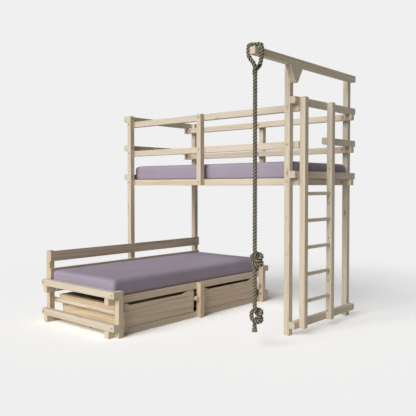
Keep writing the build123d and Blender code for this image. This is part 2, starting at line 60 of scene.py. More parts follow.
# The climbing rope: 34 mm hemp, laid from three strands. It is spliced into an eye over the crane
# beam, hangs straight, and has two overhand knots to stand on and a whipped end below them.
rope_diameter = 0.034
rope_fall = (2.0100, -0.5290)
rope_step = 0.0036
rope_points = (
    (2.04236, -0.51322, 2.12800),
    (2.05584, -0.50664, 2.18700),
    (2.05584, -0.50664, 2.26580),
    (2.04415, -0.51234, 2.27880),
    (2.01000, -0.52900, 2.27580),
    (1.97585, -0.54566, 2.27880),
    (1.96416, -0.55136, 2.26580),
    (1.96416, -0.55136, 2.18700),
    (2.01000, -0.52900, 2.13000),
    (2.01000, -0.52900, 2.05350),
    (2.01000, -0.52900, 0.83880),
    (2.01000, -0.52900, 0.79150),
    (2.01519, -0.53548, 0.74498),
    (2.02191, -0.53353, 0.71170),
    (2.01366, -0.50025, 0.68800),
    (2.03327, -0.48454, 0.66930),
    (2.05452, -0.49615, 0.64931),
    (2.06114, -0.52929, 0.63969),
    (2.03588, -0.55631, 0.64122),
    (2.00826, -0.55751, 0.65740),
    (1.99202, -0.54491, 0.67950),
    (1.98149, -0.52726, 0.70160),
    (1.98605, -0.49998, 0.71778),
    (2.01595, -0.47820, 0.71931),
    (2.04803, -0.48881, 0.70969),
    (2.05697, -0.51133, 0.68970),
    (2.03898, -0.52887, 0.67100),
    (2.00695, -0.51663, 0.64730),
    (2.00420, -0.52306, 0.61402),
    (2.01000, -0.52900, 0.56750),
    (2.01000, -0.52900, 0.52020),
    (2.01000, -0.52900, 0.41780),
    (2.01000, -0.52900, 0.37050),
    (2.01519, -0.53548, 0.32398),
    (2.02191, -0.53353, 0.29070),
    (2.01366, -0.50025, 0.26700),
    (2.03327, -0.48454, 0.24830),
    (2.05452, -0.49615, 0.22831),
    (2.06114, -0.52929, 0.21869),
    (2.03588, -0.55631, 0.22022),
    (2.00826, -0.55751, 0.23640),
    (1.99202, -0.54491, 0.25850),
    (1.98149, -0.52726, 0.28060),
    (1.98605, -0.49998, 0.29678),
    (2.01595, -0.47820, 0.29831),
    (2.04803, -0.48881, 0.28869),
    (2.05697, -0.51133, 0.26870),
    (2.03898, -0.52887, 0.25000),
    (2.00695, -0.51663, 0.22630),
    (2.00420, -0.52306, 0.19302),
    (2.01000, -0.52900, 0.13800),
)
rope_curve = bpy.data.curves.new("rope_line", "CURVE")
rope_curve.dimensions = "3D"
rope_curve.resolution_u = 24
rope_spline = rope_curve.splines.new("NURBS")
rope_spline.points.add(len(rope_points) - 1)
for control, place in zip(rope_spline.points, rope_points):
    control.co = (*place, 1)
rope_spline.order_u = 3
rope_spline.use_endpoint_u = True
rope_guide = bpy.data.objects.new("rope_line", rope_curve)
scene.collection.objects.link(rope_guide)
bpy.context.view_layer.update()
guide_mesh = bpy.data.meshes.new_from_object(rope_guide.evaluated_get(bpy.context.evaluated_depsgraph_get()))
rope_raw = np.array([vertex.co for vertex in guide_mesh.vertices], float)
bpy.data.objects.remove(rope_guide)
rope_reach = np.concatenate([[0], np.cumsum(np.linalg.norm(np.diff(rope_raw, axis=0), axis=1))])
rope_length = rope_reach[-1]
rope_steps = np.linspace(0, rope_length, int(rope_length / rope_step))
rope_line = np.stack([np.interp(rope_steps, rope_reach, rope_raw[:, k]) for k in range(3)], axis=1)


def carried_frames(line):
    """Directions across a line that turn with it and never twist about it."""
    ahead = np.gradient(line, axis=0)
    ahead /= np.linalg.norm(ahead, axis=1)[:, None]
    across = np.cross(ahead[0], (0.3, 0.9, 0.1))
    out = []
    for direction in ahead:
        across = across - direction * np.dot(across, direction)
        across /= np.linalg.norm(across)
        out.append((across, np.cross(direction, across)))
    return np.array([a for a, b in out]), np.array([b for a, b in out])


def laid_strand(mesh, line, core, radii, reach, sides=12):
    """Adds one round strand: its UV map holds its length and turn, "crest" its height off the core."""
    layer = mesh.loops.layers.uv.verify()
    crest = mesh.verts.layers.float.get("crest") or mesh.verts.layers.float.new("crest")
    across, over = carried_frames(line)
    rings = []
    for place, middle, a, b, radius in zip(line, core, across, over, radii):
        ring = []
        for side in range(sides):
            turn = 2 * math.pi * side / sides
            spot = place + radius * (math.cos(turn) * a + math.sin(turn) * b)
            vertex = mesh.verts.new(spot)
            vertex[crest] = float(np.linalg.norm(spot - middle)) / (rope_diameter / 2)
            ring.append(vertex)
        rings.append(ring)
    for step, (low, high) in enumerate(zip(rings, rings[1:])):
        for side in range(sides):
            other = (side + 1) % sides
            face = mesh.faces.new((low[side], low[other], high[other], high[side]))
            face.smooth = True
            along = (reach[step], reach[step], reach[step + 1], reach[step + 1])
            turns = (side / sides, (side + 1) / sides, (side + 1) / sides, side / sides)
            for loop, u, v in zip(face.loops, along, turns):
                loop[layer].uv = (u, v)
    mesh.faces.new(list(reversed(rings[0])))
    mesh.faces.new(rings[-1])


def finished(name, mesh):
    """A new object from a bmesh, with its place in its vertices."""
    data = bpy.data.meshes.new(name)
    mesh.to_mesh(data)
    mesh.free()
    piece = bpy.data.objects.new(name, data)
    scene.collection.objects.link(piece)
    return piece


strand_radius = 0.0079
strand_offset = 0.0091
rope_lay = 0.074
rope_mesh = bmesh.new()
rope_across, rope_over = carried_frames(rope_line)
strand_heads = []
for strand in range(3):
    turn = 2 * math.pi * (rope_steps / rope_lay + strand / 3)
    line = rope_line + strand_offset * (
        np.cos(turn)[:, None] * rope_across + np.sin(turn)[:, None] * rope_over
    )
    laid_strand(rope_mesh, line, rope_line, [strand_radius] * len(line), rope_steps)
    strand_heads.append((line[0], line[0] - line[1]))
rope = finished("climbing_rope_strands", rope_mesh)


class Bench:
    """A node tree that is put together node by node."""

    def node(self, kind, settings=(), **links):
        """A node with its settings, and its inputs linked or set by name or by place."""
        node = self.tree.nodes.new(kind)
        for key, value in dict(settings).items():
            setattr(node, key, value)
        for key, value in links.items():
            place = node.inputs[int(key[1:])] if key[1:].isdigit() else node.inputs[key.replace("_", " ")]
            for single in value if isinstance(value, list) else [value]:
                if isinstance(single, bpy.types.NodeSocket):
                    self.tree.links.new(single, place)
                else:
                    place.default_value = single
        return node

    def maths(self, operation, first, second=0.0, third=0.0):
        """The result of one sum."""
        made = self.node("ShaderNodeMath", {"operation": operation}, i0=first, i1=second, i2=third)
        return made.outputs[0]


class Recipe(Bench):
    """A material of one finish."""

    def __init__(self, name):
        self.material = bpy.data.materials.new(name)
        self.material.use_nodes = True
        self.tree = self.material.node_tree
        self.tree.nodes.clear()
        self.shader = self.tree.nodes.new("ShaderNodeBsdfPrincipled")
        self.surface = self.tree.nodes.new("ShaderNodeOutputMaterial").inputs["Surface"]
        self.tree.links.new(self.shader.outputs["BSDF"], self.surface)
        self.place = self.node("ShaderNodeTexCoord").outputs["Object"]

    def noise(self, scale, detail=2.0, place=None):
        """Soft cloudy noise on a scale given in cells a metre."""
        made = self.node("ShaderNodeTexNoise", Vector=place or self.place, Scale=scale, Detail=detail)
        return made.outputs[0]

    def spread(self, value, low, high, to_low=0.0, to_high=1.0):
        """A value stretched from one range to another, and kept inside it."""
        return self.node(
            "ShaderNodeMapRange", Value=value, From_Min=low, From_Max=high, To_Min=to_low, To_Max=to_high
        ).outputs[0]

    def ramp(self, value, *stops):
        """A colour for each value, from stops of (place, colour)."""
        node = self.node("ShaderNodeValToRGB", Fac=value)
        elements = node.color_ramp.elements
        while len(elements) < len(stops):
            elements.new(0.5)
        for element, (place, colour) in zip(elements, stops):
            element.position = place
            element.color = (*colour, 1)
        return node.outputs["Color"]

    def mixed(self, share, first, second, blend="MIX"):
        """Two colours mixed or multiplied."""
        node = self.node("ShaderNodeMix", {"data_type": "RGBA", "blend_type": blend}, i0=share)
        for place, value in ((6, first), (7, second)):
            if isinstance(value, bpy.types.NodeSocket):
                self.tree.links.new(value, node.inputs[place])
            else:
                node.inputs[place].default_value = (*value, 1)
        return node.outputs[2]

    def finish(self, colour, roughness, height, strength, distance, **plain):
        """Sets the shader's colour, roughness, bump and plain values, and gives the material."""
        self.tree.links.new(colour, self.shader.inputs["Base Color"])
        if isinstance(roughness, bpy.types.NodeSocket):
            self.tree.links.new(roughness, self.shader.inputs["Roughness"])
        else:
            self.shader.inputs["Roughness"].default_value = roughness
        for key, value in plain.items():
            self.shader.inputs[key.replace("_", " ")].default_value = value
        bump = self.node("ShaderNodeBump", Strength=strength, Distance=distance, Height=height)
        self.tree.links.new(bump.outputs["Normal"], self.shader.inputs["Normal"])
        return self.material


def paint(piece, material):
    """Gives a piece, or a CAD node, one material."""
    if piece.material_slots:
        for slot in piece.material_slots:
            slot.material = material
    else:
        piece.data.materials.append(material)


# Hemp yarns show as fine lines along each strand, and the furrows between the strands carry painted shade,
# darker the deeper they lie below the strands' crests.
def hemp(name):
    recipe = Recipe(name)
    parts = recipe.node("ShaderNodeSeparateXYZ", Vector=recipe.node("ShaderNodeTexCoord").outputs["UV"])
    slant = recipe.maths("MULTIPLY_ADD", parts.outputs["X"], 15.0, parts.outputs["Y"])
    yarn = recipe.maths("SINE", recipe.maths("MULTIPLY", slant, 2 * math.pi * 9))
    fuzz = recipe.noise(1100.0, 3.0)
    patch = recipe.noise(26.0)
    depth = recipe.node("ShaderNodeAttribute", {"attribute_name": "crest"}).outputs["Fac"]
    # Painted shade: the colour falls to near black in the furrows, the deeper a point lies below the
    # strands' crests.
    painted_furrow_shade = recipe.ramp(
        recipe.spread(depth, 0.66, 0.99),
        (0.0, (0.008, 0.006, 0.004)),
        (0.45, (0.082, 0.071, 0.052)),
        (0.76, (0.258, 0.228, 0.176)),
        (1.0, (0.428, 0.384, 0.304)),
    )
    yarns = recipe.ramp(
        recipe.maths("MULTIPLY_ADD", yarn, 0.5, 0.5), (0.0, (0.62, 0.61, 0.58)), (0.6, (1.0, 1.0, 1.0))
    )
    worn = recipe.ramp(patch, (0.3, (0.82, 0.81, 0.79)), (0.7, (1.0, 0.99, 0.96)))
    fibre = recipe.ramp(fuzz, (0.3, (0.72, 0.71, 0.70)), (0.7, (1.0, 1.0, 1.0)))
    colour = recipe.mixed(1.0, recipe.mixed(1.0, painted_furrow_shade, yarns, "MULTIPLY"), worn, "MULTIPLY")
    colour = recipe.mixed(1.0, colour, fibre, "MULTIPLY")
    height = recipe.maths("MULTIPLY_ADD", fuzz, 0.7, recipe.maths("MULTIPLY", yarn, 0.5))
    return recipe.finish(colour, 0.92, height, 0.7, 0.0008, Specular_IOR_Level=0.15)


hemp_material = hemp("hemp_rope")
paint(rope, hemp_material)
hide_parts("climbing_rope")
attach(rope, "root")

# The eye splice: the three strands of the rope's end part below the eye, and are tucked into the
# standing part, which they thicken until they taper away.
splice_mesh = bmesh.new()
splice_share = np.linspace(0, 1, 48)
splice_drop = 0.112
splice_girth, splice_taper = 0.0165, 0.0085
settling_share, taper_from = 0.42, 0.45
first_turn, turn_apart, splice_turn = math.radians(26), 1.35, 5.2
settled = np.clip(splice_share / settling_share, 0, 1)
settled = settled * settled * (3 - 2 * settled)
for strand, (head, ahead) in enumerate(strand_heads):
    ahead = ahead / np.linalg.norm(ahead)
    turn = first_turn + (strand - 1) * turn_apart - splice_turn * splice_share
    girth = splice_girth - splice_taper * np.clip(splice_share - taper_from, 0, 1) / (1 - taper_from)
    height = head[2] - splice_drop * splice_share
    wound = np.stack(
        [rope_fall[0] + girth * np.cos(turn), rope_fall[1] + girth * np.sin(turn), height], axis=1
    )
    plain = head + ahead * (splice_drop * splice_share)[:, None]
    line = plain * (1 - settled)[:, None] + wound * settled[:, None]
    outward = line[:, :2] - rope_fall
    core = line.copy()
    core[:, :2] -= strand_offset * outward / np.linalg.norm(outward, axis=1)[:, None]
    thickness = strand_radius * (1 - 0.62 * splice_share**1.4)
    laid_strand(splice_mesh, line, core, thickness, splice_share * splice_drop)
splice = finished("climbing_rope_splice", splice_mesh)
paint(splice, hemp_material)
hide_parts("climbing_rope")
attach(splice, "root")


class Jig(Bench):
    """A geometry tree that makes a wound or repeated thing from a few named sizes."""

    def __init__(self, name, **sizes):
        self.tree = bpy.data.node_groups.new(name, "GeometryNodeTree")
        sockets = self.tree.interface
        sockets.new_socket("Places", in_out="INPUT", socket_type="NodeSocketGeometry")
        self.settings = {}
        for label, value in sizes.items():
            kind = {int: "NodeSocketInt", float: "NodeSocketFloat", tuple: "NodeSocketVector"}[type(value)]
            socket = sockets.new_socket(label.replace("_", " "), in_out="INPUT", socket_type=kind)
            self.settings[socket.identifier] = value
        sockets.new_socket("Made", in_out="OUTPUT", socket_type="NodeSocketGeometry")
        self.sizes = self.tree.nodes.new("NodeGroupInput").outputs
        self.last = self.tree.nodes.new("NodeGroupOutput").inputs[0]

    def moved(self, geometry, place):
        """The geometry shifted by a vector."""
        return self.node("GeometryNodeTransform", Geometry=geometry, Translation=place).outputs[0]

    def vector(self, x=0.0, y=0.0, z=0.0):
        """A vector from three sums or numbers."""
        return self.node("ShaderNodeCombineXYZ", X=x, Y=y, Z=z).outputs[0]

    def made(self, name, geometry, material, places=None):
        """Ends the tree, runs it, and gives the result as a plain mesh piece."""
        real = self.node("GeometryNodeRealizeInstances", Geometry=geometry).outputs[0]
        painted = self.node("GeometryNodeSetMaterial", Geometry=real, Material=material).outputs[0]
        self.tree.links.new(painted, self.last)
        piece = bpy.data.objects.new(name, places or bpy.data.meshes.new(name))
        scene.collection.objects.link(piece)
        modifier = piece.modifiers.new(name, "NODES")
        modifier.node_group = self.tree
        for key, value in self.settings.items():
            modifier[key] = value
        bpy.context.view_layer.update()
        mesh = bpy.data.meshes.new_from_object(piece.evaluated_get(bpy.context.evaluated_depsgraph_get()))
        piece.modifiers.remove(modifier)
        piece.data = mesh
        return piece


# A whipping of waxed twine, wound tightly in eight turns, keeps the free end from coming apart.
def waxed_twine():
    recipe = Recipe("waxed_twine")
    fuzz = recipe.noise(1600.0, 3.0)
    tint = recipe.ramp(fuzz, (0.3, (0.150, 0.132, 0.098)), (0.7, (0.320, 0.288, 0.225)))
    return recipe.finish(tint, 0.8, fuzz, 0.5, 0.0004, Specular_IOR_Level=0.3)


twist = Jig(
    "twine_whipping",
    Turns=8.0,
    Winding_radius=0.0180,
    Winding_height=0.0145,
    Twine_radius=0.00105,
    Place=(*rope_fall, 0.1500),
)
winding = twist.node(
    "GeometryNodeCurveSpiral",
    Resolution=28,
    Rotations=twist.sizes["Turns"],
    Start_Radius=twist.sizes["Winding radius"],
    End_Radius=twist.sizes["Winding radius"],
    Height=twist.sizes["Winding height"],
).outputs[0]
twine = twist.node(
    "GeometryNodeCurvePrimitiveCircle", Resolution=7, Radius=twist.sizes["Twine radius"]
).outputs[0]
wound = twist.node("GeometryNodeCurveToMesh", i0=winding, i1=twine).outputs[0]
wound = twist.node("GeometryNodeSetShadeSmooth", Geometry=wound).outputs[0]
whipping = twist.made("climbing_rope_whipping", twist.moved(wound, twist.sizes["Place"]), waxed_twine())
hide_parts("climbing_rope")
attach(whipping, "root")


# Below the whipping the hemp fibres of all three strands spread into a short brush.
def loose_hemp():
    recipe = Recipe("loose_hemp")
    fuzz = recipe.noise(900.0)
    tint = recipe.ramp(fuzz, (0.3, (0.120, 0.103, 0.074)), (0.7, (0.330, 0.296, 0.228)))
    return recipe.finish(tint, 0.95, fuzz, 0.3, 0.0003, Specular_IOR_Level=0.1)


brush = Jig(
    "frayed_end",
    Fibres=640,
    Bundle_radius=0.0172,
    Fibre_length=0.0150,
    Fibre_radius=0.00075,
    Spread=0.36,
    Unevenness=0.055,
    Seed=5,
    Place=(*rope_fall, 0.1520),
)
order = brush.node("GeometryNodeInputIndex").outputs[0]
share = brush.maths("DIVIDE", brush.maths("ADD", order, 0.5), brush.sizes["Fibres"])
from_middle = brush.maths("SQRT", share)
around = brush.maths("MULTIPLY", order, math.pi * (3 - math.sqrt(5)))
side = brush.maths("MULTIPLY", brush.maths("COSINE", around), from_middle)
front = brush.maths("MULTIPLY", brush.maths("SINE", around), from_middle)
roots = brush.node("GeometryNodePoints", Count=brush.sizes["Fibres"]).outputs[0]
roots = brush.node(
    "GeometryNodeSetPosition",
    Geometry=roots,
    Position=brush.vector(
        brush.maths("MULTIPLY", side, brush.sizes["Bundle radius"]),
        brush.maths("MULTIPLY", front, brush.sizes["Bundle radius"]),
    ),
).outputs[0]
rough_low = brush.maths("MULTIPLY", brush.sizes["Unevenness"], -1.0)
stray = [
    brush.node(
        "FunctionNodeRandomValue",
        {"data_type": "FLOAT"},
        i2=rough_low,
        i3=brush.sizes["Unevenness"],
        Seed=brush.maths("ADD", brush.sizes["Seed"], float(turn)),
    ).outputs[1]
    for turn in range(3)
]
lean = brush.vector(
    brush.maths("MULTIPLY_ADD", side, brush.sizes["Spread"], stray[0]),
    brush.maths("MULTIPLY_ADD", front, brush.sizes["Spread"], stray[1]),
    -1.0,
)
facing = brush.node("FunctionNodeAlignRotationToVector", {"axis": "Z"}, Vector=lean).outputs[0]
fibre = brush.node(
    "GeometryNodeMeshCone",
    Vertices=5,
    Radius_Top=brush.maths("MULTIPLY", brush.sizes["Fibre radius"], 0.45),
    Radius_Bottom=brush.sizes["Fibre radius"],
    Depth=brush.sizes["Fibre length"],
).outputs[0]
stretch = brush.maths("ADD", 1.0, stray[2])
fibres = brush.node(
    "GeometryNodeInstanceOnPoints",
    Points=roots,
    Instance=fibre,
    Rotation=facing,
    Scale=brush.vector(1.0, 1.0, stretch),
).outputs[0]
tuft = brush.made("climbing_rope_brush", brush.moved(fibres, brush.sizes["Place"]), loose_hemp())
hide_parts("climbing_rope")
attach(tuft, "root")


# Every timber is spruce, sawn along the trunk, planed and rounded over. Its growth rings run as
# lines along the faces and as arcs across the ends, with a small knot here and there.
def spruce(name, grain, heart, seed, ring, lean, tone_and_painted_bounce, figure, knots):
    recipe = Recipe(name)
    chance = random.Random(seed)
    centred = recipe.node(
        "ShaderNodeVectorMath", {"operation": "SUBTRACT"}, i0=recipe.place, i1=heart
    ).outputs[0]
    parts = recipe.node("ShaderNodeSeparateXYZ", Vector=centred)
    order = {"X": ("Y", "Z", "X"), "Y": ("Z", "X", "Y"), "Z": ("X", "Y", "Z")}[grain]
    turned = recipe.node(
        "ShaderNodeCombineXYZ",
        X=parts.outputs[order[0]],
        Y=parts.outputs[order[1]],
        Z=parts.outputs[order[2]],
    ).outputs[0]
    tilt = (chance.uniform(-lean, lean), chance.uniform(-lean, lean), 0)
    leant = recipe.node("ShaderNodeMapping", Vector=turned, Rotation=tilt).outputs[0]
    slow = recipe.node("ShaderNodeMapping", Vector=leant, Scale=(1, 1, 0.09)).outputs[0]
    wander = recipe.node("ShaderNodeTexNoise", Vector=slow, Scale=11.0, Detail=2.0).outputs["Color"]
    shifted = recipe.node(
        "ShaderNodeVectorMath", {"operation": "SUBTRACT"}, i0=wander, i1=(0.5, 0.5, 0.5)
    ).outputs[0]
    bent = recipe.node(
        "ShaderNodeVectorMath", {"operation": "MULTIPLY_ADD"}, i0=shifted, i1=(0.022, 0.022, 0.0), i2=leant
    ).outputs[0]
    branch_place = (seed * 0.71, seed * 0.37, seed * 0.13)
    branches = recipe.node(
        "ShaderNodeMapping", Vector=leant, Scale=(9, 9, 2.2), Location=branch_place
    ).outputs[0]
    knot = recipe.node("ShaderNodeTexVoronoi", Vector=branches, Scale=1.0).outputs["Distance"]
    near_knot = recipe.maths("POWER", recipe.spread(knot, 0.05, 0.26, 1.0, 0.0), 2.0)
    swirl = recipe.maths("MULTIPLY", near_knot, 0.010)
    rings = recipe.node("ShaderNodeSeparateXYZ", Vector=bent).outputs
    square = recipe.maths(
        "MULTIPLY_ADD", rings["X"], rings["X"], recipe.maths("MULTIPLY", rings["Y"], rings["Y"])
    )
    from_heart = recipe.maths("ADD", recipe.maths("SQRT", square), swirl)
    year = recipe.maths("FRACT", recipe.maths("DIVIDE", from_heart, ring))
    wood = recipe.ramp(
        year,
        (0.0, (0.672, 0.600, 0.497)),
        (0.14, (0.742, 0.690, 0.600)),
        (0.62, (0.722, 0.660, 0.562)),
        (0.90, (0.612, 0.520, 0.400)),
        (1.0, (0.632, 0.545, 0.428)),
    )
    fine = recipe.node("ShaderNodeMapping", Vector=leant, Scale=(1, 1, 0.02)).outputs[0]
    fibre = recipe.noise(620.0, 3.0, fine)
    streak = recipe.noise(60.0, 3.0, fine)
    dark = tuple(pale - figure * drop for pale, drop in ((0.88, 0.18), (0.85, 0.24), (0.80, 0.30)))
    streaks = recipe.ramp(streak, (0.30, dark), (0.60, (1.0, 1.0, 0.99)))
    fibres = recipe.ramp(fibre, (0.2, (0.95, 0.94, 0.93)), (0.8, (1.0, 1.0, 1.0)))
    warmth = chance.uniform(0, 0.03)
    patches = recipe.ramp(
        recipe.noise(4.0, 1.0, slow),
        (0.3, (1.0, 0.995, 0.985)),
        (0.7, (0.96, 0.94 - warmth, 0.90 - 2 * warmth)),
    )
    colour = recipe.mixed(1.0, wood, streaks, "MULTIPLY")
    colour = recipe.mixed(1.0, colour, fibres, "MULTIPLY")
    colour = recipe.mixed(1.0, colour, patches, "MULTIPLY")
    # The timber's own tint. On the low bed's and the drawers' timbers it is warmer, partly the spruce's own
    # tone and partly painted warm bounce light in their shade.
    colour = recipe.mixed(1.0, colour, tone_and_painted_bounce, "MULTIPLY")
    colour = recipe.mixed(recipe.spread(knot, 0.05, 0.13, 0.65, 0.0), colour, (0.470, 0.300, 0.165))
    colour = recipe.mixed(recipe.spread(knot, 0.035, 0.052, 0.85, 0.0), colour, (0.215, 0.112, 0.055))
    for knot_place in knots:
        away = recipe.node("ShaderNodeVectorMath", {"operation": "DISTANCE"}, i0=recipe.place, i1=knot_place)
        away = recipe.maths("MULTIPLY_ADD", recipe.noise(160.0), 0.003, away.outputs["Value"])
        colour = recipe.mixed(recipe.spread(away, 0.007, 0.015, 0.8, 0.0), colour, (0.560, 0.330, 0.170))
        colour = recipe.mixed(recipe.spread(away, 0.004, 0.008, 0.8, 0.0), colour, (0.270, 0.115, 0.045))
    height = recipe.maths("MULTIPLY_ADD", fibre, 0.5, recipe.maths("MULTIPLY", year, -0.35))
    gloss = recipe.spread(streak, 0.2, 0.8, 0.60, 0.72)
    return recipe.finish(colour, gloss, height, 0.16, 0.0005, Specular_IOR_Level=0.28)


def saw_timber(name, grain, seed, ring=0.0036, lean=0.012, tone_and_painted_bounce=(1.0, 0.99, 0.97), figure=0.0, knots=()):
    """Paints a CAD timber in spruce of its own, with the trunk's heart just outside it."""
    low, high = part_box(name)
    chance = random.Random(seed * 7 + 1)
    heart = list((low + high) / 2)
    for axis in range(3):
        if axis != "XYZ".index(grain):
            heart[axis] += chance.choice((-1, 1)) * chance.uniform(0.012, 0.062)
    paint(nodes[name], spruce("spruce_" + name, grain, tuple(heart), seed, ring, lean, tone_and_painted_bounce, figure, knots))


# The high bed's posts stand upright. The two at the right run on above the rails to carry the
# crane beam, and two short ones hold the rails together in the middle.
for seed, name in enumerate(
    ("front_left", "back_left", "front_right", "back_right", "front_middle", "back_middle")
):
    saw_timber("post_" + name, "Z", 3 + seed)

# Its rails run the whole length inside the posts, three at the front and three at the back, and
# its end beams lie across on the rails' ends.
for seed, level in enumerate(("bottom", "middle", "top")):
    saw_timber("rail_front_" + level, "X", 20 + seed)
    saw_timber("rail_back_" + level, "X", 30 + seed)
    saw_timber("left_beam_" + level, "Y", 40 + seed)
    saw_timber("right_beam_" + level, "Y", 50 + seed)
saw_timber("foot_beam", "Y", 54)

# The crane beam lies on the outside of the right posts and reaches forward for the rope. A brace
# cut from the same timber fills the corner below it.
saw_timber("crane_beam", "Y", 61)
saw_timber("crane_brace", "Z", 62)

# The ladder's stiles are posts bolted to the end beams, with turned rungs glued into them. The back
# one has five reddish marks on its front face, which are taken for knots.
saw_timber("ladder_stile_front", "Z", 65)
stile_face = 0.479
stile_marks = ((2.061, 1.383), (2.063, 1.079), (2.057, 0.776), (2.056, 0.404), (2.054, 0.137))
stile_knots = [(x, stile_face, z) for x, z in stile_marks]
saw_timber("ladder_stile_back", "Z", 66, knots=stile_knots)
saw_timber("ladder_rungs", "Y", 67, ring=0.0028)

# The low bed has four posts of its own, floor rails and side rails along it, and end beams that
# lie across on the rails' ends.
# The low bed's posts and rails get a warmer tint: partly the spruce's own tone, partly painted warm bounce
# light for their shade under the high bed.
for seed, name in enumerate(("wall", "near", "middle", "far")):
    saw_timber("low_post_" + name, "Z", 70 + seed, tone_and_painted_bounce=(0.99, 0.92, 0.83))
for seed, name in enumerate(("floor_rail_wall", "floor_rail_front", "side_rail_wall", "side_rail_front")):
    saw_timber("low_" + name, "Y", 75 + seed, tone_and_painted_bounce=(1.0, 0.95, 0.90))
for seed, name in enumerate(("floor_beam_near", "floor_beam_far", "side_beam_near", "side_beam_far")):
    saw_timber("low_" + name, "X", 80 + seed, tone_and_painted_bounce=(0.96, 0.95, 0.93))

# Two planed boards along the wall side: the backrest, and one that keeps the mattress in.
saw_timber("backrest_board", "Y", 85, ring=0.0045, lean=0.02, tone_and_painted_bounce=(1.0, 0.96, 0.92), figure=1.0)
saw_timber("mattress_board", "Y", 86, ring=0.0045, lean=0.02, figure=0.6)

# Sawn slats lie loose between the rails, on cleats screwed to the rails' inner faces.
saw_timber("upper_slats", "Y", 88)
saw_timber("lower_slats", "X", 89)
saw_timber("slat_cleats", "X", 90)

# Each drawer has a front board with a hand grip cut into its edge, thin sides and back, a panel
# bottom and hardwood runners, and hangs on two round rods that are screwed to the posts.
# The drawers' fronts, sides and runners get a warmer tint: partly the spruce's own tone, partly painted warm
# bounce light for their shade under the bed.
for seed, drawer in enumerate(("near", "far")):
    saw_timber(
        drawer + "_drawer_front", "Y", 92 + seed, ring=0.0050, lean=0.03, tone_and_painted_bounce=(1.0, 0.92, 0.86), figure=0.5
    )
    saw_timber(drawer + "_drawer_sides", "X", 94 + seed, ring=0.0045, tone_and_painted_bounce=(1.0, 0.89, 0.74))
    saw_timber(drawer + "_drawer_back", "Y", 96 + seed, ring=0.0045)
    saw_timber(drawer + "_drawer_bottom", "Y", 98 + seed, ring=0.0060, lean=0.03)
    saw_timber(drawer + "_drawer_runners", "X", 100 + seed, tone_and_painted_bounce=(1.0, 0.89, 0.74))
saw_timber("drawer_rods", "X", 103, ring=0.0028)


# The bolts have flat heads of dull yellow-plated steel with hexagon sockets, and their cap nuts are
# of brown-plated steel. Both are sunk below the timbers' faces.
def plated(name, colour, shine):
    recipe = Recipe(name)
    grime = recipe.noise(260.0, 4.0)
    tint = recipe.ramp(grime, (0.35, tuple(0.6 * value for value in colour)), (0.65, colour))
    rough = recipe.spread(grime, 0.3, 0.7, shine + 0.2, shine)
    return recipe.finish(tint, rough, recipe.noise(1500.0), 0.15, 0.0002, Metallic=0.8)


paint(nodes["frame_bolts"], plated("dull_plated_steel", (0.60, 0.49, 0.34), 0.42))
paint(nodes["frame_nuts"], plated("brown_plated_steel", (0.52, 0.25, 0.10), 0.45))


# Wood screws hold the boards, rods, cleats, runners and drawer corners. They are zinc-plated steel
# with a cross recess in the head, driven until the head lies just below the wood.
def screw_places(node):
    """Each screw's head, facing and length, read from the loose solids of a CAD node."""
    solids = bmesh.new()
    solids.from_mesh(nodes[node].data)
    bmesh.ops.remove_doubles(solids, verts=solids.verts, dist=1e-6)
    waiting = set(solids.verts)
    found = []
    while waiting:
        first = min(waiting, key=lambda vertex: vertex.index)
        front, group = [first], {first}
        while front:
            vertex = front.pop()
            for edge in vertex.link_edges:
                other = edge.other_vert(vertex)
                if other not in group:
                    group.add(other)
                    front.append(other)
        waiting -= group
        spots = np.array([vertex.co for vertex in group], float)
        low, high = spots.min(axis=0), spots.max(axis=0)
        along = int(np.argmax(high - low))
        middle = (low + high) / 2
        girth = np.linalg.norm(np.delete(spots - middle, along, axis=1), axis=1)
        girth_above = girth[spots[:, along] > middle[along]].max()
        girth_below = girth[spots[:, along] < middle[along]].max()
        facing = 1 if girth_above > girth_below else -1
        head = middle.copy()
        head[along] = high[along] if facing > 0 else low[along]
        out = np.zeros(3)
        out[along] = facing
        found.append((head, out, float((high - low)[along])))
    solids.free()
    return found


